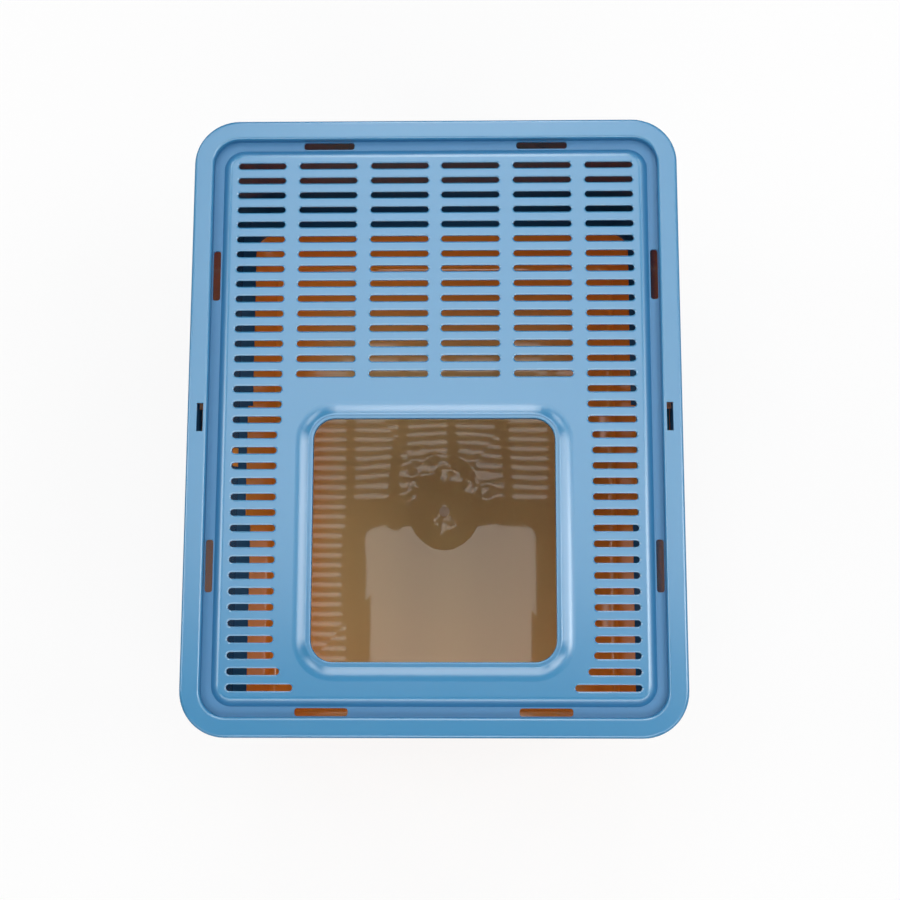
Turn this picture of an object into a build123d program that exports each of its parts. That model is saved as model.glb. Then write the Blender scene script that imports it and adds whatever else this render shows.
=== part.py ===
"""Top entry litter box: a lift-off grille lid with a hatch, a hood clipped to a base, and a pull-out drawer.

Millimetres, +Z up, +X to the right, the drawer opens towards -Y.
The origin is on the ground, under the middle of the lid.
"""

from build123d import *
import math
import os

os.makedirs("parts", exist_ok=True)

# ---------------------------------------------------------------- driving sizes

# Lid
lid_length = 522.0
lid_width = 413.0
lid_corner = 38.0
lid_wall = 2.5
lid_skirt = 24.0
panel_height = 377.5  # ground to the top of the grille panel
rim_width = 16.7
rim_rise = 2.0  # rim above the panel
rim_outer_radius = 2.6
rim_inner_radius = 2.4
trough_width = 8.2
trough_depth = 5.5  # trough floor below the panel
panel_corner = 17.0
panel_slope = 35.0  # degrees that the panel's side leans in
panel_edge_radius = 8.0

# Grille
slot_pitch = 13.0
slot_width = 5.5
slot_lip_width = 1.1
slot_lip_depth = 0.6
long_slot = 49.5
shortest_slot = 15.0
middle_bridge = 10.8
column_bridge = 11.7
grille_side_margin = 12.9  # panel's foot to the slots' ends
grille_end_margin = 11.2  # panel's foot to the first slot, at least

# Hatch
hatch_size = 200.5
hatch_corner = 18.0
hatch_setback = 161.0  # lid's front edge to the hatch's middle
collar_width = 15.5
collar_rise = 3.3
collar_slope = 30.0  # degrees
collar_foot_radius = 21.0
crest_radius = 2.5
rebate_width = 2.8
rebate_depth = 0.9
lip_radius = 1.0
apron_width = 30.9  # plain band between the hatch and the slots
apron_corner = 45.0

# Drain slots in the trough, and the two slots in the rim above the snap tongues
drain_length = 43.6
drain_width = 6.5
drain_corner = 2.4
drain_inset = 3.8  # from the rim's inner edge to the drain slot's middle
drain_x = 91.5
drain_y = 123.6
side_shift = 1.8  # side drain slots and rim slots lie this far behind the middle
rim_slot_length = 24.0
rim_slot_width = 5.4
rim_slot_inset = 5.9  # from the rim's inner edge to the rim slot's middle
tongue_drop = 22.0
tongue_side_gap = 1.0
barb_height = 9.0

# Hood
hood_wall = 2.5
lid_clearance = 0.5
ledge_width = 13.0
ledge_back_width = 24.0
ledge_thickness = 3.0
ledge_corner = 18.0
notch_length = 110.0
notch_depth = 5.0
hood_skirt = 12.0
window_width = 20.0
window_height = 20.0
window_corner = 2.0
window_rise = 16.0  # window's lower edge above the ledge
catch_gap = 0.3
catch_length = 28.0
catch_height = 26.0

# Base
base_top = 147.0
base_wall = 2.5
base_floor = 2.5
base_clearance = 0.3
ground_gap = 5.0
runner_height = 1.0
runner_width = 6.0
runner_spacing = 240.0
runner_end_gap = 18.0

# Drawer
drawer_wall = 2.5
drawer_headroom = 1.2
drawer_side_gap = 0.9
drawer_back_gap = 2.7
drawer_draft = 3.5  # degrees
drawer_corner = 26.0
drawer_lip = 2.3  # flange outside the tub's wall
front_lip = 6.0  # flange from the front face to the opening
drawer_seat_gap = 0.3
floor_fillet = 8.0
floor_fall = 1.5  # from the floor's edges to its lowest point
gate_setback = 222.6  # front face to the lowest point of the floor
gate_radius = 5.5
gate_rise = 0.6
front_wrap = 3.0  # straight stretch of the front behind its rounded corners
front_gap = 0.5
front_lift = 1.0  # front's lower edge above the base's underside
grip_length = 116.0
grip_height = 28.0
grip_depth = 25.0
grip_drop = 14.0  # drawer's top to the grip's opening
grip_corner = 11.0

# Side clips
clip_width = 60.0
clip_thickness = 2.8
clip_gap = 0.8
clip_axis_drop = 42.0  # hinge below the base's top
clip_head = 18.0  # plate above the hook
clip_corner = 9.0
tab_height = 9.0
tab_reach = 5.0
barrel_radius = 4.5
pin_radius = 2.0
pin_clearance = 0.08
pin_head_radius = 3.2
pin_head = 1.5
ear_thickness = 4.0
ear_gap = 0.5
hook_side_gap = 1.0
hook_height = 5.0
hook_seat_gap = 0.3
hook_reach = 2.5  # past the hood's inner face

# Feet
foot_radius = 11.0
foot_inset = 40.0
foot_edge_radius = 1.0
foot_clearance = 0.3
socket_wall = 1.8
socket_depth = 2.5

# ---------------------------------------------------------------- derived sizes

rim_z = panel_height + rim_rise
rim_under_z = rim_z - lid_wall
trough_z = panel_height - trough_depth
trough_under_z = trough_z - lid_wall
panel_under_z = panel_height - lid_wall
crest_z = panel_height + collar_rise
skirt_z = rim_z - lid_skirt

tray_width = lid_width - 2 * rim_width
tray_length = lid_length - 2 * rim_width
tray_corner = lid_corner - rim_width
panel_width = tray_width - 2 * trough_width
panel_length = tray_length - 2 * trough_width
hatch_y = hatch_setback - lid_length / 2

hood_width = lid_width - 2 * (lid_wall + lid_clearance)
hood_length = lid_length - 2 * (lid_wall + lid_clearance)
hood_corner = lid_corner - lid_wall - lid_clearance
hood_inner_width = hood_width - 2 * hood_wall
hood_inner_length = hood_length - 2 * hood_wall
hood_inner_corner = hood_corner - hood_wall
ledge_z = base_top + ledge_thickness
window_z = ledge_z + window_rise

base_width = hood_inner_width - 2 * base_clearance
base_length = hood_inner_length - 2 * base_clearance
base_corner = hood_inner_corner - base_clearance
base_inner_width = base_width - 2 * base_wall
base_inner_length = base_length - 2 * base_wall
base_floor_z = ground_gap + base_floor

front_y = -hood_length / 2
split_y = front_y + hood_corner + front_wrap
front_bottom_z = ground_gap + front_lift
drawer_top = base_top - drawer_headroom
drawer_bottom = base_floor_z + runner_height + drawer_seat_gap
drawer_floor_z = drawer_bottom + drawer_wall + floor_fall
flange_width = base_inner_width - 2 * drawer_side_gap
flange_back_y = base_inner_length / 2 - drawer_back_gap
tub_back_y = flange_back_y - drawer_lip
tub_front_y = front_y + front_lip - drawer_wall
gate_y = front_y + gate_setback

clip_axis_z = base_top - clip_axis_drop
clip_inner_x = hood_width / 2 + clip_gap
hinge_x = clip_inner_x + barrel_radius
ear_y = clip_width / 2 + ear_gap + ear_thickness / 2


def loop_edges(part, z, width, length, y=0.0):
    """Edges at height z on the outline of a width by length rectangle centred on (0, y)."""
    near = 0.02
    found = ShapeList()
    for edge in part.edges():
        box = edge.bounding_box()
        reach_x = max(abs(box.min.X), abs(box.max.X))
        reach_y = max(abs(box.min.Y - y), abs(box.max.Y - y))
        level = max(abs(box.min.Z - z), abs(box.max.Z - z)) < near
        on_side = abs(reach_x - width / 2) < near and reach_y <= length / 2 + near
        on_end = abs(reach_y - length / 2) < near and reach_x <= width / 2 + near
        if level and (on_side or on_end):
            found.append(edge)
    return found


def apron_edge(y):
    """Half-width of the plain band round the hatch at y, on its rounded front corners too."""
    half = hatch_size / 2 + apron_width
    into_corner = max(hatch_y - half + apron_corner - y, 0.0)
    return half - apron_corner + math.sqrt(max(apron_corner**2 - into_corner**2, 0.0))


def grille_slots():
    """Every slot of the grille as (middle x, y, length)."""
    outer = panel_width / 2 - grille_side_margin
    step = long_slot + column_bridge
    columns = int((outer - middle_bridge / 2 - shortest_slot) // step)
    half_rows = int((panel_length / 2 - grille_end_margin - slot_width / 2) // slot_pitch)
    apron_back = hatch_y + hatch_size / 2 + apron_width
    slots = []
    for row in range(-half_rows, half_rows + 1):
        y = row * slot_pitch
        if y - slot_width / 2 > apron_back:
            for column in range(columns):
                x = middle_bridge / 2 + column * step + long_slot / 2
                slots += [(-x, y, long_slot), (x, y, long_slot)]
        beside_hatch = y < hatch_y + (hatch_size - slot_pitch) / 2
        inner = apron_edge(y) if beside_hatch else middle_bridge / 2 + columns * step
        if outer - inner > shortest_slot:
            x = (inner + outer) / 2
            slots += [(-x, y, outer - inner), (x, y, outer - inner)]
    return slots


# ---------------------------------------------------------------- lid

half_collar_slope = math.radians(collar_slope / 2)
collar_taper = 90 - collar_slope
collar_offset = collar_width - collar_foot_radius * math.tan(half_collar_slope)
collar_size = hatch_size + 2 * collar_offset
collar_corner = hatch_corner + collar_offset
crest_size = collar_size - 2 * collar_rise * math.tan(math.radians(collar_taper))
collar_under_inset = lid_wall * math.tan(half_collar_slope)
slot_lip_taper = math.degrees(math.atan(slot_lip_width / slot_lip_depth))
rebate_size = hatch_size + 2 * rebate_width
slope_run = trough_depth * math.tan(math.radians(panel_slope))
panel_top_width = panel_width - 2 * slope_run
panel_top_length = panel_length - 2 * slope_run
drain_middle_x = tray_width / 2 - drain_inset
drain_middle_y = tray_length / 2 - drain_inset
rim_slot_x = tray_width / 2 + rim_slot_inset
tongue_inner_x = tray_width / 2
tongue_outer_x = tongue_inner_x + lid_wall
barb_tip_x = rim_slot_x + rim_slot_width / 2
tongue_bottom_z = trough_under_z - tongue_drop
tongue_width = rim_slot_length - 2 * tongue_side_gap

with BuildPart() as lid:
    # Rim and skirt, solid at first
    with BuildSketch(Plane.XY.offset(skirt_z)):
        RectangleRounded(lid_width, lid_length, lid_corner)
    extrude(amount=lid_skirt)
    fillet(loop_edges(lid.part, rim_z, lid_width, lid_length), rim_outer_radius)
    # Trough, sunk inside the rim
    with BuildSketch(Plane.XY.offset(trough_z)):
        RectangleRounded(tray_width, tray_length, tray_corner)
    extrude(amount=rim_z - trough_z, mode=Mode.SUBTRACT)
    fillet(loop_edges(lid.part, rim_z, tray_width, tray_length), rim_inner_radius)
    # Grille panel, standing in the trough with sloped and rounded sides
    with BuildSketch(Plane.XY.offset(trough_z)):
        RectangleRounded(panel_width, panel_length, panel_corner)
    extrude(amount=trough_depth, taper=panel_slope)
    fillet(loop_edges(lid.part, panel_height, panel_top_width, panel_top_length), panel_edge_radius)
    # Collar round the hatch, blended into the panel and over its crest
    with BuildSketch(Plane.XY.offset(panel_height)):
        with Locations((0, hatch_y)):
            RectangleRounded(collar_size, collar_size, collar_corner)
    extrude(amount=collar_rise, taper=collar_taper)
    fillet(loop_edges(lid.part, crest_z, crest_size, crest_size, hatch_y), crest_radius)
    fillet(loop_edges(lid.part, panel_height, collar_size, collar_size, hatch_y), collar_foot_radius)
    # Hollow underside: skirt, rim channel, panel and collar
    with BuildSketch(Plane.XY.offset(skirt_z)):
        RectangleRounded(lid_width - 2 * lid_wall, lid_length - 2 * lid_wall, lid_corner - lid_wall)
    extrude(amount=trough_under_z - skirt_z, mode=Mode.SUBTRACT)
    with BuildSketch(Plane.XY.offset(trough_under_z)):
        RectangleRounded(lid_width - 2 * lid_wall, lid_length - 2 * lid_wall, lid_corner - lid_wall)
        RectangleRounded(
            tray_width + 2 * lid_wall, tray_length + 2 * lid_wall, tray_corner + lid_wall, mode=Mode.SUBTRACT
        )
    extrude(amount=rim_under_z - trough_under_z, mode=Mode.SUBTRACT)
    with BuildSketch(Plane.XY.offset(trough_under_z)):
        RectangleRounded(panel_width - 2 * lid_wall, panel_length - 2 * lid_wall, panel_corner - lid_wall)
    extrude(amount=trough_depth, taper=panel_slope, mode=Mode.SUBTRACT)
    with BuildSketch(Plane.XY.offset(panel_under_z)):
        with Locations((0, hatch_y)):
            RectangleRounded(
                collar_size - 2 * collar_under_inset,
                collar_size - 2 * collar_under_inset,
                collar_corner - collar_under_inset,
            )
    extrude(amount=collar_rise, taper=collar_taper, mode=Mode.SUBTRACT)
    # Wall round the hatch, the rebate along its top and the opening
    with BuildSketch(Plane.XY.offset(panel_under_z)):
        with Locations((0, hatch_y)):
            RectangleRounded(rebate_size, rebate_size, hatch_corner + rebate_width)
    extrude(amount=crest_z - rebate_depth - panel_under_z)
    with BuildSketch(Plane.XY.offset(crest_z - rebate_depth)):
        with Locations((0, hatch_y)):
            RectangleRounded(rebate_size, rebate_size, hatch_corner + rebate_width)
    extrude(amount=rebate_depth, mode=Mode.SUBTRACT)
    with BuildSketch(Plane.XY.offset(panel_under_z)):
        with Locations((0, hatch_y)):
            RectangleRounded(hatch_size, hatch_size, hatch_corner)
    extrude(amount=crest_z - panel_under_z, mode=Mode.SUBTRACT)
    fillet(loop_edges(lid.part, crest_z - rebate_depth, hatch_size, hatch_size, hatch_y), lip_radius)
    # Snap tongues below the rim slots: a blade under the trough's outer wall and a barb at its end
    for side in (-1, 1):
        with BuildSketch(Plane.XZ.offset(-tongue_width / 2 - side_shift)):
            with BuildLine():
                Polyline(
                    (side * tongue_inner_x, trough_under_z + lid_wall / 2),
                    (side * tongue_outer_x, trough_under_z + lid_wall / 2),
                    (side * tongue_outer_x, tongue_bottom_z + barb_height),
                    (side * barb_tip_x, tongue_bottom_z + barb_height * 2 / 3),
                    (side * barb_tip_x, tongue_bottom_z + barb_height / 2),
                    (side * tongue_outer_x, tongue_bottom_z),
                    (side * tongue_inner_x, tongue_bottom_z),
                    close=True,
                )
            make_face()
        extrude(amount=tongue_width)
    # Slots of the grille, each with a sloping lip
    with BuildSketch(Plane.XY.offset(panel_under_z)):
        for x, y, length in grille_slots():
            with Locations((x, y)):
                SlotOverall(length, slot_width)
    extrude(amount=lid_wall, mode=Mode.SUBTRACT)
    with BuildSketch(Plane.XY.offset(panel_height)):
        for x, y, length in grille_slots():
            with Locations((x, y)):
                SlotOverall(length + 2 * slot_lip_width, slot_width + 2 * slot_lip_width)
    extrude(amount=-slot_lip_depth, taper=slot_lip_taper, mode=Mode.SUBTRACT)
    # Drain slots in the trough, and the slots in the rim
    with BuildSketch(Plane.XY.offset(trough_under_z)):
        with GridLocations(2 * drain_x, 2 * drain_middle_y, 2, 2):
            RectangleRounded(drain_length, drain_width, drain_corner)
        with Locations((0, side_shift)):
            with GridLocations(2 * drain_middle_x, 2 * drain_y, 2, 2):
                RectangleRounded(drain_width, drain_length, drain_corner)
    extrude(amount=lid_wall, mode=Mode.SUBTRACT)
    with BuildSketch(Plane.XY.offset(rim_under_z)):
        with Locations((0, side_shift)):
            with GridLocations(2 * rim_slot_x, 0, 2, 1):
                Rectangle(rim_slot_width, rim_slot_length)
    extrude(amount=lid_wall, mode=Mode.SUBTRACT)
lid.part.label = "lid"
export_step(lid.part, "parts/lid.step")

# ---------------------------------------------------------------- hood

ledge_back_y = hood_inner_length / 2 - ledge_back_width
ledge_front_y = front_y - ledge_corner
ledge_opening = hood_inner_width - 2 * ledge_width
catch_x = barb_tip_x + catch_gap
catch_z = tongue_bottom_z + (barb_height - catch_height) / 2

with BuildPart() as hood:
    # Four walls
    with BuildSketch(Plane.XY.offset(base_top)):
        RectangleRounded(hood_width, hood_length, hood_corner)
        RectangleRounded(hood_inner_width, hood_inner_length, hood_inner_corner, mode=Mode.SUBTRACT)
    extrude(amount=rim_under_z - base_top)
    # Ledge on three sides over the drawer's edge, cut back halfway along each side
    with BuildSketch(Plane.XY.offset(base_top)):
        RectangleRounded(
            hood_inner_width + hood_wall, hood_inner_length + hood_wall, hood_corner - hood_wall / 2
        )
        with Locations((0, (ledge_back_y + ledge_front_y) / 2)):
            RectangleRounded(ledge_opening, ledge_back_y - ledge_front_y, ledge_corner, mode=Mode.SUBTRACT)
        Rectangle(ledge_opening + 2 * notch_depth, notch_length, mode=Mode.SUBTRACT)
    extrude(amount=ledge_thickness)
    # Skirt round the outside of the base, open where the drawer's front stands
    with BuildSketch(Plane.XY.offset(base_top - hood_skirt)):
        RectangleRounded(hood_width, hood_length, hood_corner)
        RectangleRounded(hood_inner_width, hood_inner_length, hood_inner_corner, mode=Mode.SUBTRACT)
        with Locations((0, front_y)):
            Rectangle(hood_width, 2 * (split_y - front_y + 2 * front_gap), mode=Mode.SUBTRACT)
    extrude(amount=hood_skirt)
    # Catch pads that the lid's barbs bear on
    with BuildSketch(Plane.XY.offset(catch_z)):
        for side in (-1, 1):
            with Locations((side * (catch_x + hood_width / 2 - hood_wall / 2) / 2, side_shift)):
                Rectangle(hood_width / 2 - hood_wall / 2 - catch_x, catch_length)
    extrude(amount=catch_height)
    # Windows for the clips' hooks
    with BuildSketch(Plane.YZ.offset(-hood_width / 2)):
        with Locations((0, window_z + window_height / 2)):
            RectangleRounded(window_width, window_height, window_corner)
    extrude(amount=hood_width, mode=Mode.SUBTRACT)
hood.part.label = "hood"
export_step(hood.part, "parts/hood.step")

# ---------------------------------------------------------------- base

foot_spacing_x = base_width - 2 * foot_inset
foot_spacing_y = base_length - 2 * foot_inset

with BuildPart() as base:
    # Floor
    with BuildSketch(Plane.XY.offset(ground_gap)):
        RectangleRounded(base_width, base_length, base_corner)
    extrude(amount=base_floor)
    # Side and back walls, open at the front for the drawer
    with BuildSketch(Plane.XY.offset(base_floor_z)):
        RectangleRounded(base_width, base_length, base_corner)
        RectangleRounded(base_inner_width, base_inner_length, base_corner - base_wall, mode=Mode.SUBTRACT)
        with Locations((0, front_y)):
            Rectangle(hood_width, 2 * (split_y - front_y + front_gap), mode=Mode.SUBTRACT)
    extrude(amount=base_top - base_floor_z)
    # Runners under the drawer
    with BuildSketch(Plane.XY.offset(base_floor_z)):
        with GridLocations(runner_spacing, 0, 2, 1):
            Rectangle(runner_width, base_length - 2 * runner_end_gap)
    extrude(amount=runner_height)
    # Sockets for the feet
    with BuildSketch(Plane.XY.offset(ground_gap - socket_depth)):
        with GridLocations(foot_spacing_x, foot_spacing_y, 2, 2):
            Circle(foot_radius + foot_clearance + socket_wall)
            Circle(foot_radius + foot_clearance, mode=Mode.SUBTRACT)
    extrude(amount=socket_depth)
    # Ears that carry the clips' pins
    ear_root_x = (base_width - base_wall) / 2
    for y in (-ear_y, ear_y):
        with BuildSketch(Plane.XZ.offset(-y - ear_thickness / 2)):
            for side in (-1, 1):
                with Locations((side * (ear_root_x + hinge_x) / 2, clip_axis_z)):
                    Rectangle(hinge_x - ear_root_x, 2 * barrel_radius)
                with Locations((side * hinge_x, clip_axis_z)):
                    Circle(barrel_radius)
                    Circle(pin_radius + pin_clearance, mode=Mode.SUBTRACT)
        extrude(amount=ear_thickness)
base.part.label = "base"
export_step(base.part, "parts/base.step")

# ---------------------------------------------------------------- drawer

tub_width = flange_width - 2 * drawer_lip
tub_length = tub_back_y - tub_front_y
tub_y = (tub_back_y + tub_front_y) / 2
opening_width = tub_width - 2 * drawer_wall
opening_length = tub_length - 2 * drawer_wall
draft_run = (drawer_top - drawer_floor_z) * math.tan(math.radians(drawer_draft))
floor_width = opening_width - 2 * draft_run
floor_length = opening_length - 2 * draft_run
grip_z = drawer_top - grip_drop - grip_height / 2
fillet_reach = floor_fillet * math.tan(math.radians(90 - drawer_draft) / 2)
flat_width = floor_width - 2 * fillet_reach
flat_length = floor_length - 2 * fillet_reach
flat_front_y = tub_y - flat_length / 2
flat_back_y = tub_y + flat_length / 2
gate_z = drawer_floor_z - floor_fall

# Shallow hollow in the floor, which falls from four sides to one lowest point
with BuildPart() as floor_hollow:
    with BuildSketch(Plane.XZ.offset(-flat_back_y)):
        with BuildLine():
            Polyline(
                (-flat_width / 2, drawer_floor_z),
                (0, gate_z),
                (flat_width / 2, drawer_floor_z),
                close=True,
            )
        make_face()
    extrude(amount=flat_length)
    with BuildSketch(Plane.YZ.offset(-flat_width / 2)):
        with BuildLine():
            Polyline(
                (flat_front_y, drawer_floor_z),
                (gate_y, gate_z),
                (flat_back_y, drawer_floor_z),
                close=True,
            )
        make_face()
    extrude(amount=flat_width, mode=Mode.INTERSECT)
    with BuildSketch(Plane.XY.offset(gate_z)):
        with Locations((0, tub_y)):
            RectangleRounded(flat_width, flat_length, drawer_corner - fillet_reach)
    extrude(amount=floor_fall, mode=Mode.INTERSECT)

with BuildPart() as drawer:
    # Tub, solid at first
    with BuildSketch(Plane.XY.offset(drawer_top)):
        with Locations((0, tub_y)):
            RectangleRounded(tub_width, tub_length, drawer_corner + drawer_wall)
    extrude(amount=drawer_bottom - drawer_top, taper=drawer_draft)
    # Front, flush with the hood and wrapped back round its corners
    with BuildSketch(Plane.XY.offset(front_bottom_z)):
        RectangleRounded(hood_width, hood_length, hood_corner)
        RectangleRounded(
            hood_width - 2 * drawer_wall,
            hood_length - 2 * drawer_wall,
            hood_corner - drawer_wall,
            mode=Mode.SUBTRACT,
        )
        with Locations((0, split_y + hood_length)):
            Rectangle(hood_width, 2 * hood_length, mode=Mode.SUBTRACT)
    extrude(amount=drawer_top - front_bottom_z)
    # Flange round the opening, joined to the front
    with BuildSketch(Plane.XY.offset(drawer_top)):
        RectangleRounded(hood_width, hood_length, hood_corner)
        with Locations((0, split_y + hood_length)):
            Rectangle(hood_width, 2 * hood_length, mode=Mode.SUBTRACT)
        with Locations((0, (flange_back_y + split_y - drawer_corner) / 2)):
            RectangleRounded(
                flange_width, flange_back_y - split_y + drawer_corner, drawer_corner + drawer_lip
            )
    extrude(amount=-drawer_wall)
    # Inside of the tub
    with BuildSketch(Plane.XY.offset(drawer_top)):
        with Locations((0, tub_y)):
            RectangleRounded(opening_width, opening_length, drawer_corner)
    extrude(amount=drawer_floor_z - drawer_top, taper=drawer_draft, mode=Mode.SUBTRACT)
    fillet(loop_edges(drawer.part, drawer_floor_z, floor_width, floor_length, tub_y), floor_fillet)
    add(floor_hollow.part, mode=Mode.SUBTRACT)
    # Gate mark at the lowest point
    with BuildSketch(Plane.XY.offset(gate_z)):
        with Locations((0, gate_y)):
            Circle(gate_radius)
    extrude(amount=gate_rise)
    # Grip, a pocket in the front
    with BuildSketch(Plane.XZ.offset(-front_y - grip_depth - drawer_wall)):
        with Locations((0, grip_z)):
            RectangleRounded(
                grip_length + 2 * drawer_wall, grip_height + 2 * drawer_wall, grip_corner + drawer_wall
            )
    extrude(amount=grip_depth + drawer_wall)
    with BuildSketch(Plane.XZ.offset(-front_y - grip_depth)):
        with Locations((0, grip_z)):
            RectangleRounded(grip_length, grip_height, grip_corner)
    extrude(amount=grip_depth, mode=Mode.SUBTRACT)
drawer.part.label = "drawer"
export_step(drawer.part, "parts/drawer.step")

# ---------------------------------------------------------------- side clips and their pins

hook_z = window_z + hook_seat_gap
hook_tip_x = hood_inner_width / 2 - hook_reach
hook_width = window_width - 2 * hook_side_gap
plate_top_z = hook_z + hook_height + clip_head
clip_top_z = plate_top_z + tab_height
clip_outer_x = clip_inner_x + clip_thickness
pin_length = 2 * ear_y + ear_thickness

for side, name in ((-1, "left_clip"), (1, "right_clip")):
    with BuildPart() as clip:
        # Plate with a finger tab that leans outward
        with BuildSketch(Plane.XZ.offset(-clip_width / 2)):
            with BuildLine():
                Polyline(
                    (side * clip_inner_x, clip_axis_z),
                    (side * clip_inner_x, plate_top_z),
                    (side * (clip_inner_x + tab_reach), clip_top_z),
                    (side * (clip_outer_x + tab_reach), clip_top_z),
                    (side * clip_outer_x, plate_top_z),
                    (side * clip_outer_x, clip_axis_z),
                    close=True,
                )
            make_face()
            with Locations((side * hinge_x, clip_axis_z)):
                Circle(barrel_radius)
        extrude(amount=clip_width)
        # Rounded top corners
        with BuildSketch(Plane.YZ):
            with Locations((0, (clip_axis_z - barrel_radius - clip_corner + clip_top_z) / 2)):
                RectangleRounded(
                    clip_width, clip_top_z - clip_axis_z + barrel_radius + clip_corner, clip_corner
                )
        extrude(amount=side * (hinge_x + barrel_radius), mode=Mode.INTERSECT)
        # Hook that enters the hood's window
        with BuildSketch(Plane.XZ.offset(-hook_width / 2)):
            with BuildLine():
                Polyline(
                    (side * clip_outer_x, hook_z),
                    (side * hook_tip_x, hook_z),
                    (side * hook_tip_x, hook_z + hook_height / 2),
                    (side * (hook_tip_x + hook_height / 2), hook_z + hook_height),
                    (side * clip_outer_x, hook_z + hook_height),
                    close=True,
                )
            make_face()
        extrude(amount=hook_width)
        # Bore for the pin
        with BuildSketch(Plane.XZ.offset(-clip_width / 2)):
            with Locations((side * hinge_x, clip_axis_z)):
                Circle(pin_radius + pin_clearance)
        extrude(amount=clip_width, mode=Mode.SUBTRACT)
    clip.part.label = name
    export_step(clip.part, f"parts/{name}.step")

    with BuildPart() as pin:
        with BuildSketch(Plane.XZ.offset(-pin_length / 2)):
            with Locations((side * hinge_x, clip_axis_z)):
                Circle(pin_radius)
        extrude(amount=pin_length)
        for y in (-pin_length / 2, pin_length / 2 + pin_head):
            with BuildSketch(Plane.XZ.offset(-y)):
                with Locations((side * hinge_x, clip_axis_z)):
                    Circle(pin_head_radius)
            extrude(amount=pin_head)
    pin.part.label = f"{name}_pin"
    export_step(pin.part, f"parts/{name}_pin.step")

# ---------------------------------------------------------------- feet

for side_x, across in ((-1, "left"), (1, "right")):
    for side_y, along in ((-1, "front"), (1, "back")):
        with BuildPart() as foot:
            with BuildSketch():
                with Locations((side_x * foot_spacing_x / 2, side_y * foot_spacing_y / 2)):
                    Circle(foot_radius)
            extrude(amount=ground_gap)
            fillet(foot.edges().group_by(Axis.Z)[0], foot_edge_radius)
        foot.part.label = f"foot_{along}_{across}"
        export_step(foot.part, f"parts/foot_{along}_{across}.step")
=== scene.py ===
# %% [markdown]
# # Top entry litter box
# A light blue lid with a grille and a square hatch lies on a navy blue hood. Inside stands an orange
# drawer. This lesson dresses a finished engineering model: its solids are loaded as they are, and
# Blender adds the finishes, a few moulded details, the light and the camera.

# %% Load the model
import math

import bpy
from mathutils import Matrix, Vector


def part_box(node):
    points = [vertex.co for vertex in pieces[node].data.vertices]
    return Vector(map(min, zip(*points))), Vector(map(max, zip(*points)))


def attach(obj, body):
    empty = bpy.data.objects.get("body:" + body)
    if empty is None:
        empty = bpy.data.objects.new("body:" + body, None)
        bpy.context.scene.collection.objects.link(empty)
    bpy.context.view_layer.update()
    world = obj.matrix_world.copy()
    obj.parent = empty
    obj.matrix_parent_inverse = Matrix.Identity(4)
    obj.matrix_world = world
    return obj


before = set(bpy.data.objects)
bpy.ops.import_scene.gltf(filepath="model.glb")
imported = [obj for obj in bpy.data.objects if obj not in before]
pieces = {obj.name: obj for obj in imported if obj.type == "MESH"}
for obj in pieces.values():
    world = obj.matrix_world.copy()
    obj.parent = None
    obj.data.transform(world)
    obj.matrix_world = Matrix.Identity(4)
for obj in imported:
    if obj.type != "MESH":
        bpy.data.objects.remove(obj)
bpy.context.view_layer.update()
print("pieces:", ", ".join(sorted(pieces)))

# %% [markdown]
# ## Camera
# The box stands on the ground and the camera looks down at its lid, a little from the front. It hangs
# more than a metre above the lid, with a lens a little longer than normal. From there the lid hides the
# walls of the box, and the slots and the hatch still show the drawer far below. Its height is given from
# the grille panel of the lid, and its turn as three small angles.

# %% The camera above the lid
panel_z = 0.3775  # the top of the grille panel
camera_height = 1.181  # above that panel
camera_x = 0.0364
camera_y = -0.2129  # in front of the lid's middle
camera_turn = (8.988, 1.114, -0.089)  # in degrees
camera_data = bpy.data.cameras.new("camera")
camera_data.lens = 57.65
camera_data.sensor_width = 36.0
camera = bpy.data.objects.new("camera", camera_data)
camera.location = (camera_x, camera_y, panel_z + camera_height)
camera.rotation_mode = "ZYX"
camera.rotation_euler = [math.radians(angle) for angle in camera_turn]
bpy.context.scene.collection.objects.link(camera)
bpy.context.scene.camera = camera
print("camera height above the lid in mm:", round(camera_height * 1000))

# %% [markdown]
# ## Mixing finishes
# A finish is a tree of nodes, and such a tree is long to write out. So the first helper adds one node and
# says in the same line what each of its inputs gets: a fixed value, or the output of an earlier node.


# %% A helper for node trees
def add_node(tree, kind, inputs=None, **settings):
    """Adds a node, sets its properties, and gives each input a value or a link."""
    made = tree.nodes.new(kind)
    for name, value in settings.items():
        setattr(made, name, value)
    for name, value in (inputs or {}).items():
        if isinstance(value, bpy.types.NodeSocket):
            tree.links.new(value, made.inputs[name])
        else:
            made.inputs[name].default_value = value
    return made


print("helper:", add_node.__doc__)

# %% [markdown]
# A plastic is never one flat colour: pigment is a little uneven, the skin copies the grain of the steel
# mould, and handling leaves fine scuffs. One function builds a node tree with those three layers, and
# each real finish then gets its own call. Object coordinates keep the pattern still when a piece moves.

# %% The plastic finish
cloud_scale = 9.0  # clouds of pigment about a hand wide
patch_scale = 26.0  # patches of gloss a few centimetres wide
grain_strength = 0.25


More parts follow.
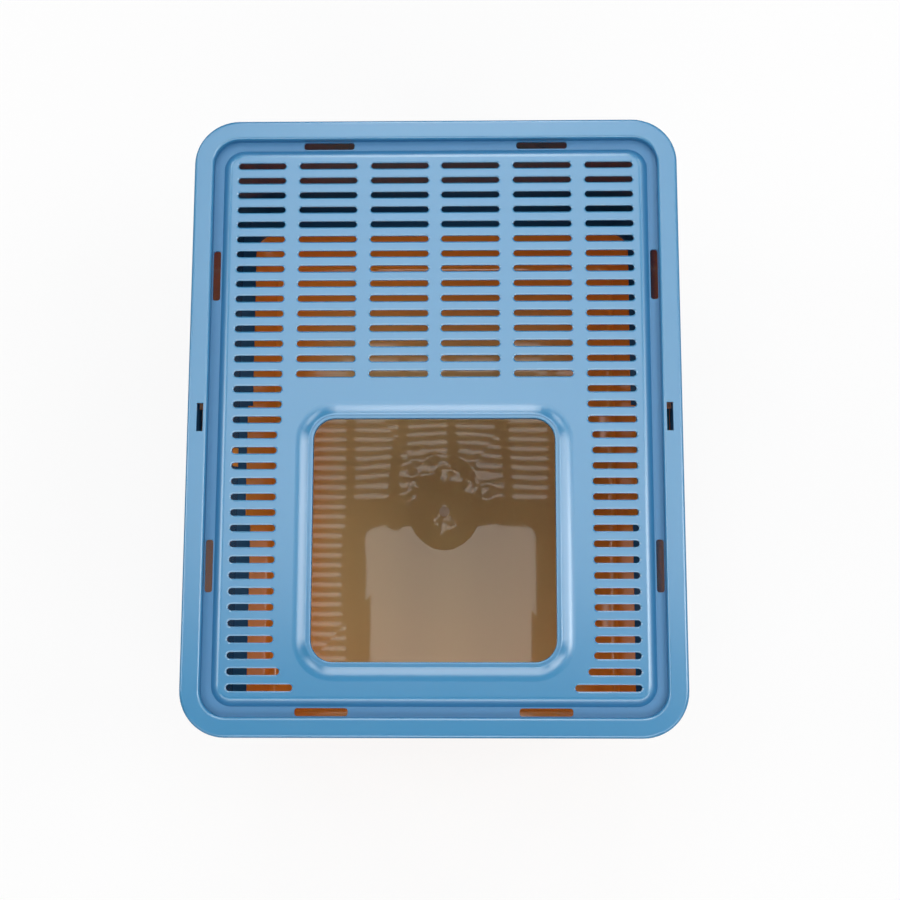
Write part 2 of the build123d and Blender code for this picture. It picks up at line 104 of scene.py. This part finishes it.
def moulded_plastic(name, colour, colour_shift, roughness, grain_scale, grain_depth, sockets=None):
    """Injection-moulded plastic: uneven pigment, a fine grain and patchy gloss."""
    material = bpy.data.materials.new(name)
    material.use_nodes = True
    tree = material.node_tree
    tree.nodes.clear()
    place = add_node(tree, "ShaderNodeTexCoord", name="place").outputs["Object"]
    # Pigment: slow clouds between two close colours
    clouds = add_node(tree, "ShaderNodeTexNoise", {"Vector": place, "Scale": cloud_scale, "Detail": 3.0})
    colours = {"Factor": clouds.outputs["Fac"], "A": (*colour, 1), "B": (*colour_shift, 1)}
    pigment = add_node(tree, "ShaderNodeMix", colours, data_type="RGBA", name="pigment")
    # Gloss: patches a little duller than the rest
    patches = add_node(tree, "ShaderNodeTexNoise", {"Vector": place, "Scale": patch_scale, "Detail": 5.0})
    levels = {"Value": patches.outputs["Fac"], "To Min": roughness[0], "To Max": roughness[1]}
    gloss = add_node(tree, "ShaderNodeMapRange", levels, name="gloss")
    # Skin: the mould's grain
    grain = add_node(tree, "ShaderNodeTexNoise", {"Vector": place, "Scale": grain_scale, "Detail": 2.0})
    relief = {"Height": grain.outputs["Fac"], "Strength": grain_strength, "Distance": grain_depth}
    skin = add_node(tree, "ShaderNodeBump", relief, name="skin")
    shader = add_node(tree, "ShaderNodeBsdfPrincipled", sockets, name="shader")
    tree.links.new(pigment.outputs["Result"], shader.inputs["Base Color"])
    tree.links.new(gloss.outputs["Result"], shader.inputs["Roughness"])
    tree.links.new(skin.outputs["Normal"], shader.inputs["Normal"])
    add_node(tree, "ShaderNodeOutputMaterial", {"Surface": shader.outputs["BSDF"]})
    print("finish:", name)
    return material


# %% [markdown]
# The lid is a soft, slightly milky plastic: light sinks a few millimetres into it and rounds off its
# slots, so its call adds some subsurface scattering. The drawer is polished almost like glass, which is
# easy to wipe clean, and the hood lies between the two. The clips are of the drawer's plastic with a
# duller skin, the feet are rubber, and the hinge pins are ground steel.

# %% Finishes
orange = (0.97, 0.345, 0.05)
orange_shift = (0.98, 0.355, 0.055)
lid_sockets = {
    "Subsurface Weight": 0.25, "Subsurface Radius": (0.4, 0.8, 1.0), "Subsurface Scale": 0.004,
    "IOR": 1.6, "Specular IOR Level": 1.0,
}
lid_blue = moulded_plastic(
    "light blue lid", (0.041, 0.226, 0.424), (0.045, 0.234, 0.438), (0.22, 0.268), 1500, 0.00001, lid_sockets
)
hood_navy = moulded_plastic(
    "navy hood", (0.028, 0.105, 0.22), (0.031, 0.112, 0.235), (0.12, 0.18), 900, 0.00005
)
drawer_orange = moulded_plastic(
    "orange drawer", orange, orange_shift, (0.03, 0.05), 500, 0.00002, {"IOR": 1.6}
)
clip_orange = moulded_plastic("orange clip", orange, orange_shift, (0.29, 0.36), 900, 0.0001)
foot_rubber = moulded_plastic(
    "black rubber", (0.02, 0.02, 0.021), (0.03, 0.03, 0.031), (0.6, 0.8), 1200, 0.0003
)
pin_steel = moulded_plastic(
    "pin steel", (0.6, 0.6, 0.61), (0.65, 0.65, 0.66), (0.3, 0.4), 2000, 0.00005, {"Metallic": 1.0}
)

# %% Each piece gets its finish
finish = {
    "lid": lid_blue, "hood": hood_navy, "base": hood_navy, "drawer": drawer_orange,
    "left_clip": clip_orange, "right_clip": clip_orange,
    "left_clip_pin": pin_steel, "right_clip_pin": pin_steel,
}
for name, piece in pieces.items():
    piece.data.materials[0] = finish.get(name, foot_rubber)
print("rubber pieces:", ", ".join(sorted(set(pieces) - set(finish))))

# %% [markdown]
# ## The drawer's floor
# A wide flat floor never leaves the mould quite flat: it shrinks and sinks towards the gate, the point
# where the plastic was let in. On a glossy piece the mirror image shows this at once. A bump that holds
# the floor's height in metres turns the reflection as the real sag does, and leaves the mesh alone. That
# height is a sum of simple forms, so some helpers for sums come first.


# %% Sums in a node tree
def chain(tree, start, *steps):
    """Runs a value through a row of Math nodes, each given as (operation, second number)."""
    value = start
    for operation, number in steps:
        value = add_node(tree, "ShaderNodeMath", {0: value, 1: number}, operation=operation).outputs[0]
    return value


def joined(tree, operation, values):
    """Joins any number of values with one operation."""
    result = values[0]
    for value in values[1:]:
        result = add_node(tree, "ShaderNodeMath", {0: result, 1: value}, operation=operation).outputs[0]
    return result


def vector_math(tree, operation, result, *inputs):
    """Does one step with vectors and gives the output of that name, Vector or Value."""
    step = add_node(tree, "ShaderNodeVectorMath", dict(enumerate(inputs)), operation=operation)
    return step.outputs[result]


print("helpers:", chain.__name__, joined.__name__, vector_math.__name__)

# %% [markdown]
# A finish that changes from place to place needs a few more. One gives each point's place, one fades in
# between two limits, and one shows one finish where such a mask is black and another where it is white.


# %% Places, masks and mixes
def distances(tree):
    """How far each point of the piece lies across, along and up."""
    place = tree.nodes["place"].outputs["Object"]
    return add_node(tree, "ShaderNodeSeparateXYZ", {"Vector": place}).outputs


def fade(tree, value, start, end, top=1.0):
    """Rises smoothly from 0, where the value is start, to the top, where it is end."""
    limits = {"Value": value, "From Min": start, "From Max": end, "To Max": top}
    return add_node(tree, "ShaderNodeMapRange", limits, interpolation_type="SMOOTHSTEP").outputs["Result"]


def mixed(tree, mask, black, white, data_type="FLOAT"):
    """Shows one value or colour where the mask is black, and another where it is white."""
    inputs = {"Factor": mask, "A": black, "B": white}
    return add_node(tree, "ShaderNodeMix", inputs, data_type=data_type).outputs["Result"]


print("helpers:", distances.__name__, fade.__name__, mixed.__name__)

# %% [markdown]
# The whole floor is a shallow bowl from side to side, and it falls a little towards the back.

# %% Bowl and tilt
bowl_rise = 0.045  # metres of rise per square metre of distance from the middle
floor_tilt = -0.018  # metres of rise per metre towards the back
floor_half_width = 0.175
drawer_tree = drawer_orange.node_tree
across, along, up = distances(drawer_tree)
bowl = chain(drawer_tree, across, ("POWER", 2), ("MULTIPLY", bowl_rise))
tilt = chain(drawer_tree, along, ("MULTIPLY", floor_tilt))
print("floor sag at the side walls in mm:", round(bowl_rise * floor_half_width**2 * 1000, 2))

# %% [markdown]
# The gate itself lies in a dish, a low cone that is narrower from side to side and steeper in front.
# Round it the floor is drawn down a little further out, like a funnel, and that bends the lines of the
# reflection towards the gate. Both follow from how far a point lies from the gate.

# %% Distance from the gate
gate_y = -0.0354
level = add_node(drawer_tree, "ShaderNodeCombineXYZ", {"X": across, "Y": along}).outputs["Vector"]
from_gate = vector_math(drawer_tree, "SUBTRACT", "Vector", level, (0, gate_y, 0))
gate_distance = vector_math(drawer_tree, "LENGTH", "Value", from_gate)
print("the gate lies in front of the middle by mm:", round(-gate_y * 1000, 1))

# %% Dish and funnel
dish_reach = 0.0504
dish_depth = 0.00176
dish_stretch = (1.25, 1.0, 0.0)  # the dish is narrower from side to side
dish_lean = (0.0, -0.2, 0.0)  # and its front is steeper than its back
funnel_radius = 0.1
funnel_depth = 0.0008
stretched = vector_math(drawer_tree, "MULTIPLY", "Vector", from_gate, dish_stretch)
spread = vector_math(drawer_tree, "LENGTH", "Value", stretched)
lean = vector_math(drawer_tree, "DOT_PRODUCT", "Value", from_gate, dish_lean)
cone = joined(drawer_tree, "ADD", [spread, lean])
dish = chain(drawer_tree, cone, ("DIVIDE", dish_reach), ("MINIMUM", 1), ("MULTIPLY", dish_depth))
funnel = fade(drawer_tree, gate_distance, 0.0, funnel_radius, funnel_depth)
print("the dish's slope to its side in percent:", round(dish_depth / dish_reach * dish_stretch[0] * 100, 1))

# %% [markdown]
# Cooling also leaves ripples: slow and faint ones all over, and quicker, stronger ones round the gate.

# %% Ripples
slow_scale = 14.0
slow_depth = 0.00008
quick_scale = 75.0
quick_depth = 0.0002
quick_reach = (0.09, 0.03)  # none beyond the first distance, all within the second
waves = add_node(drawer_tree, "ShaderNodeTexNoise", {"Vector": level, "Scale": slow_scale, "Detail": 1.0})
slow = chain(drawer_tree, waves.outputs["Fac"], ("MULTIPLY", slow_depth))
ripples = add_node(drawer_tree, "ShaderNodeTexNoise", {"Vector": level, "Scale": quick_scale, "Detail": 0.0})
near_gate = fade(drawer_tree, gate_distance, *quick_reach)
local = joined(drawer_tree, "MULTIPLY", [ripples.outputs["Fac"], near_gate])
quick = chain(drawer_tree, local, ("MULTIPLY", quick_depth))
print("ripples near the gate in mm:", quick_depth * 1000)

# %% [markdown]
# All these heights are in metres, so the bump's own distance is one metre. It goes in below the grain.

# %% The sum of the heights
height = joined(drawer_tree, "ADD", [bowl, tilt, dish, funnel, slow, quick])
sag = add_node(drawer_tree, "ShaderNodeBump", {"Strength": 1.0, "Distance": 1.0, "Height": height})
drawer_tree.links.new(sag.outputs["Normal"], drawer_tree.nodes["skin"].inputs["Normal"])
print("bump nodes of the drawer:", sum(step.type == "BUMP" for step in drawer_tree.nodes))

# %% [markdown]
# The middle of the floor is painted paler than the walls, a painted sheen that stands in for the whitish
# haze of light which the glossy floor reflects. The mask is the product of four fades: only the floor's
# skin, away from both side walls, more in front than at the back, and inside the front wall.

# %% The paler middle of the floor, a painted sheen
# The pale colour is a painted sheen that stands in for the haze of reflected light.
sheen_colour = (0.97, 0.71, 0.31, 1)
sheen_up = (0.0155, 0.0135)  # in each pair the wear starts at the first place and is full at the second
sheen_across = (0.165, 0.105)
sheen_back = (0.24, 0.07)
sheen_front = (-0.248, -0.228)
masks = [
    fade(drawer_tree, up, *sheen_up),
    fade(drawer_tree, chain(drawer_tree, across, ("ABSOLUTE", 0)), *sheen_across),
    fade(drawer_tree, along, *sheen_back),
    fade(drawer_tree, along, *sheen_front),
]
# Painted sheen: under this mask the floor's colour turns paler.
painted_sheen = joined(drawer_tree, "MULTIPLY", masks)
paler = mixed(drawer_tree, painted_sheen, drawer_tree.nodes["pigment"].outputs["Result"], sheen_colour, "RGBA")
# This width is the width of the painted sheen.
print("worn floor's width in mm:", round(sheen_across[0] * 2000))

# %% [markdown]
# Where the moulding was cut from its runner, the gate leaves a small mark of torn plastic, pale and matt.

# %% The gate mark
gate_radius = 0.0055
torn_colour = (0.95, 0.75, 0.5, 1)
torn_roughness = 0.45
mark = chain(drawer_tree, gate_distance, ("LESS_THAN", gate_radius))
matt = mixed(drawer_tree, mark, drawer_tree.nodes["gloss"].outputs["Result"], torn_roughness)
torn = mixed(drawer_tree, mark, paler, torn_colour, "RGBA")
drawer_tree.links.new(matt, drawer_tree.nodes["shader"].inputs["Roughness"])
drawer_tree.links.new(torn, drawer_tree.nodes["shader"].inputs["Base Color"])
print("gate mark's width in mm:", gate_radius * 2000)

# %% [markdown]
# ## The lid's trough
# The trough round the panel gets a dull skin so that it doesn't glare, and its blue is painted a little
# deeper, a painted shade of the recess. The finish is the lid's own, so a mask picks out the trough by its
# place: inside the rim, outside the flat of the panel and below it. There the gloss goes down and the
# painted shade deepens the blue.

# %% Where the trough is
trough_half = (0.1905, 0.245)  # from the middle to its outer edge, across and along
flat_half = (0.172, 0.2265)  # from the middle to the edge of the panel's flat
trough_top = panel_z - 0.0001
trough_low = panel_z - 0.0012
lid_tree = lid_blue.node_tree
lid_across, lid_along, lid_up = distances(lid_tree)
away = [chain(lid_tree, distance, ("ABSOLUTE", 0)) for distance in (lid_across, lid_along)]
beyond = [chain(lid_tree, distance, ("GREATER_THAN", edge)) for distance, edge in zip(away, flat_half)]
within = [chain(lid_tree, distance, ("LESS_THAN", edge)) for distance, edge in zip(away, trough_half)]
sunk = fade(lid_tree, lid_up, trough_top, trough_low)
trough = joined(lid_tree, "MULTIPLY", [sunk, joined(lid_tree, "MAXIMUM", beyond), *within])
print("trough finish starts", round((panel_z - trough_top) * 1000, 1), "mm below the panel")

# %% Dull finish and painted shade in the trough
trough_roughness = 0.6
# The deeper blue is painted shade, where the recess darkens.
trough_shade_blue = (0.003, 0.152, 0.345, 1)
dull = mixed(lid_tree, trough, lid_tree.nodes["gloss"].outputs["Result"], trough_roughness)
painted_trough_shade = mixed(lid_tree, trough, lid_tree.nodes["pigment"].outputs["Result"], trough_shade_blue, "RGBA")
lid_tree.links.new(dull, lid_tree.nodes["shader"].inputs["Roughness"])
lid_tree.links.new(painted_trough_shade, lid_tree.nodes["shader"].inputs["Base Color"])
print("trough roughness:", trough_roughness)

# %% [markdown]
# ## Finger ribs on the clips
# Each clip ends in a tab that a thumb pulls outwards, and a few low ribs across the tab give it grip.
# Ribs repeat at one spacing, so a small Geometry Nodes tree places them: a row of points climbs the
# sloping tab, and one rounded bar is copied to each. The same tree serves both clips.

# %% One rounded bar
spine_points = 33
ring_points = 12
tapered_share = 0.06  # of the bar's length, at each end
weld_distance = 0.00001


def rounded_bar(tree, length, radius):
    """A line along Y swept with a circle, which thins to nothing at both ends."""
    near_end = add_node(tree, "ShaderNodeCombineXYZ", {"Y": chain(tree, length, ("MULTIPLY", -0.5))})
    far_end = add_node(tree, "ShaderNodeCombineXYZ", {"Y": chain(tree, length, ("MULTIPLY", 0.5))})
    ends = {"Start": near_end.outputs[0], "End": far_end.outputs[0]}
    spine = add_node(tree, "GeometryNodeCurvePrimitiveLine", ends).outputs["Curve"]
    fine_spine = add_node(tree, "GeometryNodeResampleCurve", {"Curve": spine, "Count": spine_points})
    along_spine = add_node(tree, "GeometryNodeSplineParameter").outputs["Factor"]
    limits = {"Value": chain(tree, along_spine, ("PINGPONG", 0.5)), "From Max": tapered_share}
    taper = add_node(tree, "ShaderNodeMapRange", limits, interpolation_type="SMOOTHERSTEP")
    thinned = {"Curve": fine_spine.outputs["Curve"], "Radius": taper.outputs["Result"]}
    thick = add_node(tree, "GeometryNodeSetCurveRadius", thinned)
    ring = add_node(tree, "GeometryNodeCurvePrimitiveCircle", {"Resolution": ring_points, "Radius": radius})
    sweep = {"Curve": thick.outputs["Curve"], "Profile Curve": ring.outputs["Curve"], "Fill Caps": True}
    bar = add_node(tree, "GeometryNodeCurveToMesh", sweep).outputs["Mesh"]
    welded = add_node(tree, "GeometryNodeMergeByDistance", {"Geometry": bar, "Distance": weld_distance})
    return welded.outputs["Geometry"]


print("sides of a bar:", ring_points)


# %% The rib tree
def rib_tree(material):
    """Rounded bars along a line of points, made real and given one material."""
    tree = bpy.data.node_groups.new("rib row", "GeometryNodeTree")
    sockets = (
        ("Count", "NodeSocketInt"), ("Start", "NodeSocketVector"), ("Step", "NodeSocketVector"),
        ("Length", "NodeSocketFloat"), ("Radius", "NodeSocketFloat"),
    )
    for name, kind in sockets:
        tree.interface.new_socket(name, in_out="INPUT", socket_type=kind)
    tree.interface.new_socket("Geometry", in_out="OUTPUT", socket_type="NodeSocketGeometry")
    given = add_node(tree, "NodeGroupInput").outputs
    line = {"Count": given["Count"], "Start Location": given["Start"], "Offset": given["Step"]}
    row = add_node(tree, "GeometryNodeMeshLine", line).outputs["Mesh"]
    bar = rounded_bar(tree, given["Length"], given["Radius"])
    copies = add_node(tree, "GeometryNodeInstanceOnPoints", {"Points": row, "Instance": bar})
    real = add_node(tree, "GeometryNodeRealizeInstances", {"Geometry": copies.outputs["Instances"]})
    dressed = {"Geometry": real.outputs["Geometry"], "Material": material}
    coloured = add_node(tree, "GeometryNodeSetMaterial", dressed)
    add_node(tree, "NodeGroupOutput", {"Geometry": coloured.outputs["Geometry"]})
    return tree


ribs = rib_tree(clip_orange)
print("rib tree nodes:", len(ribs.nodes))

# %% [markdown]
# A tree only runs as a modifier, so an empty mesh carries it for a moment. The result is copied to a
# plain mesh, and the carrier goes again.


# %% From tree to mesh
def grown(name, tree, values):
    """Runs a node tree with those input values and keeps the result as a plain mesh."""
    seed = bpy.data.objects.new(name + "_seed", bpy.data.meshes.new(name + "_seed"))
    bpy.context.scene.collection.objects.link(seed)
    modifier = seed.modifiers.new("nodes", "NODES")
    modifier.node_group = tree
    for item in tree.interface.items_tree:
        if item.item_type == "SOCKET" and item.in_out == "INPUT":
            modifier[item.identifier] = values[item.name]
    bpy.context.view_layer.update()
    evaluated = seed.evaluated_get(bpy.context.evaluated_depsgraph_get())
    mesh = bpy.data.meshes.new_from_object(evaluated)
    mesh.name = name
    for face in mesh.polygons:
        face.use_smooth = True
    seed.modifiers.remove(modifier)
    bpy.data.objects.remove(seed)
    made = bpy.data.objects.new(name, mesh)
    bpy.context.scene.collection.objects.link(made)
    print(name, "faces:", len(mesh.polygons))
    return made


print("helper:", grown.__doc__)

# %% Ribs on each clip
rib_count = 4
rib_length = 0.042
rib_radius = 0.0007
rib_step_z = 0.0019
first_rib_drop = 0.0078  # below the tab's top
tab_top_x = 0.2121  # where the tab's outer face ends
tab_height = 0.009
tab_reach = 0.005
tab_lean = tab_reach / tab_height
for side, clip in ((-1, "left_clip"), (1, "right_clip")):
    first_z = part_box(clip)[1][2] - first_rib_drop
    first_x = tab_top_x - first_rib_drop * tab_lean
    row = grown(clip + "_ribs", ribs, {
        "Count": rib_count, "Start": (side * first_x, 0.0, first_z),
        "Step": (side * rib_step_z * tab_lean, 0.0, rib_step_z), "Length": rib_length, "Radius": rib_radius,
    })
    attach(row, clip)

# %% [markdown]
# ## Floor and light
# The box stands on a wide sheet of white paper. Only right under the lamps is paper bright enough to
# come out white, so camera rays see it mixed with plain white. A part of its own shading stays, which
# keeps the soft shadow.

# %% White paper
paper_width = 30.0
paper_z = -0.0005
paper_white = (0.9, 0.9, 0.9, 1)
paper_roughness = 0.9
plain_white_share = 0.85
bpy.ops.mesh.primitive_plane_add(size=paper_width, location=(0, 0, paper_z))
floor = bpy.context.object
floor.name = "floor"
paper = bpy.data.materials.new("white paper")
paper.use_nodes = True
paper_tree = paper.node_tree
sheet = paper_tree.nodes["Principled BSDF"]
sheet.inputs["Base Color"].default_value = paper_white
sheet.inputs["Roughness"].default_value = paper_roughness
glow = add_node(paper_tree, "ShaderNodeEmission", {"Strength": 1.0})
camera_ray = add_node(paper_tree, "ShaderNodeLightPath").outputs["Is Camera Ray"]
share = chain(paper_tree, camera_ray, ("MULTIPLY", plain_white_share))
layers = {"Fac": share, 1: sheet.outputs["BSDF"], 2: glow.outputs["Emission"]}
blend = add_node(paper_tree, "ShaderNodeMixShader", layers)
paper_tree.links.new(blend.outputs["Shader"], paper_tree.nodes["Material Output"].inputs["Surface"])
floor.data.materials.append(paper)
print("paper width in metres:", paper_width)

# %% [markdown]
# A soft box is a lamp of even brightness behind a wide white cloth. Its size says how soft its light is,
# and its brightness is what a glossy surface mirrors, so each box is given by those two. Blender asks for
# the power instead, which is the brightness times the area times pi.


# %% Soft boxes
def soft_box(name, size, place, aim, radiance):
    """A rectangular lamp of even brightness, aimed at a point."""
    lamp = bpy.data.lights.new(name, "AREA")
    lamp.shape = "RECTANGLE"
    lamp.size, lamp.size_y = size
    lamp.energy = radiance * math.pi * size[0] * size[1]
    stand = bpy.data.objects.new(name, lamp)
    stand.location = place
    stand.rotation_euler = (Vector(aim) - Vector(place)).to_track_quat("-Z", "Y").to_euler()
    bpy.context.scene.collection.objects.link(stand)
    print("soft box:", name, "of", round(lamp.energy, 1), "watts")
    return stand


print("helper:", soft_box.__doc__)

# %% [markdown]
# One broad box hangs overhead and slightly behind, where the flat lid mirrors it to the camera as an even
# haze. A small bright one high on the right reaches the drawer through the hatch. A ring of boxes stands
# round them, a little lower, and each lights up one side of the raised collar. All the light together is
# about as much as makes white paper white, so every colour comes out close to the way it is written.

# %% The lamps overhead
lid_centre = (0.0, 0.0, panel_z)
soft_box("overhead", size=(1.4, 1.35), place=(-0.05, 0.575, 2.4), aim=(-0.05, 0.575, 0.0), radiance=1.85)
soft_box("steep right", size=(0.7, 0.5), place=(1.127, -0.05, 2.497), aim=lid_centre, radiance=7.0)

# %% The ring of lamps
ring_distance = 1.755
ring_height = 2.014
ring = (  # name, azimuth in degrees from the back, width, height, radiance
    ("back", 0, 0.9, 1.25, 4.2),
    ("back right", 45, 0.6, 0.7, 3.2),
    ("right", 85, 1.0, 1.25, 3.2),
    ("front right", 135, 0.9, 0.8, 3.8),
    ("front", 180, 1.6, 1.25, 2.9),
    ("front left", 225, 0.6, 0.7, 3.0),
    ("left", 275, 0.9, 1.25, 3.9),
    ("back left", 315, 0.6, 0.7, 3.2),
)
for name, azimuth, width, height, radiance in ring:
    turn = math.radians(azimuth)
    place = (ring_distance * math.sin(turn), ring_distance * math.cos(turn), ring_height)
    soft_box(name, (width, height), place, lid_centre, radiance)

# %% [markdown]
# The room round the lamps is nearly dark. Only the camera sees it pale, so that the paper runs on into
# the background, and no extra light falls on the box.

# %% The room
room_grey = (0.03, 0.03, 0.03, 1)
backdrop_white = (0.87, 0.87, 0.87, 1)
world = bpy.data.worlds.new("studio")
world.use_nodes = True
world_tree = world.node_tree
room = world_tree.nodes["Background"]
room.inputs["Color"].default_value = room_grey
backdrop = add_node(world_tree, "ShaderNodeBackground", {"Color": backdrop_white})
camera_ray = add_node(world_tree, "ShaderNodeLightPath").outputs["Is Camera Ray"]
layers = {"Fac": camera_ray, 1: room.outputs["Background"], 2: backdrop.outputs["Background"]}
blend = add_node(world_tree, "ShaderNodeMixShader", layers)
world_tree.links.new(blend.outputs["Shader"], world_tree.nodes["World Output"].inputs["Surface"])
bpy.context.scene.world = world
bpy.context.scene.view_settings.view_transform = "Standard"
print("room brightness:", room_grey[0], "and to the camera:", backdrop_white[0])

# %% [markdown]
# ## Finish
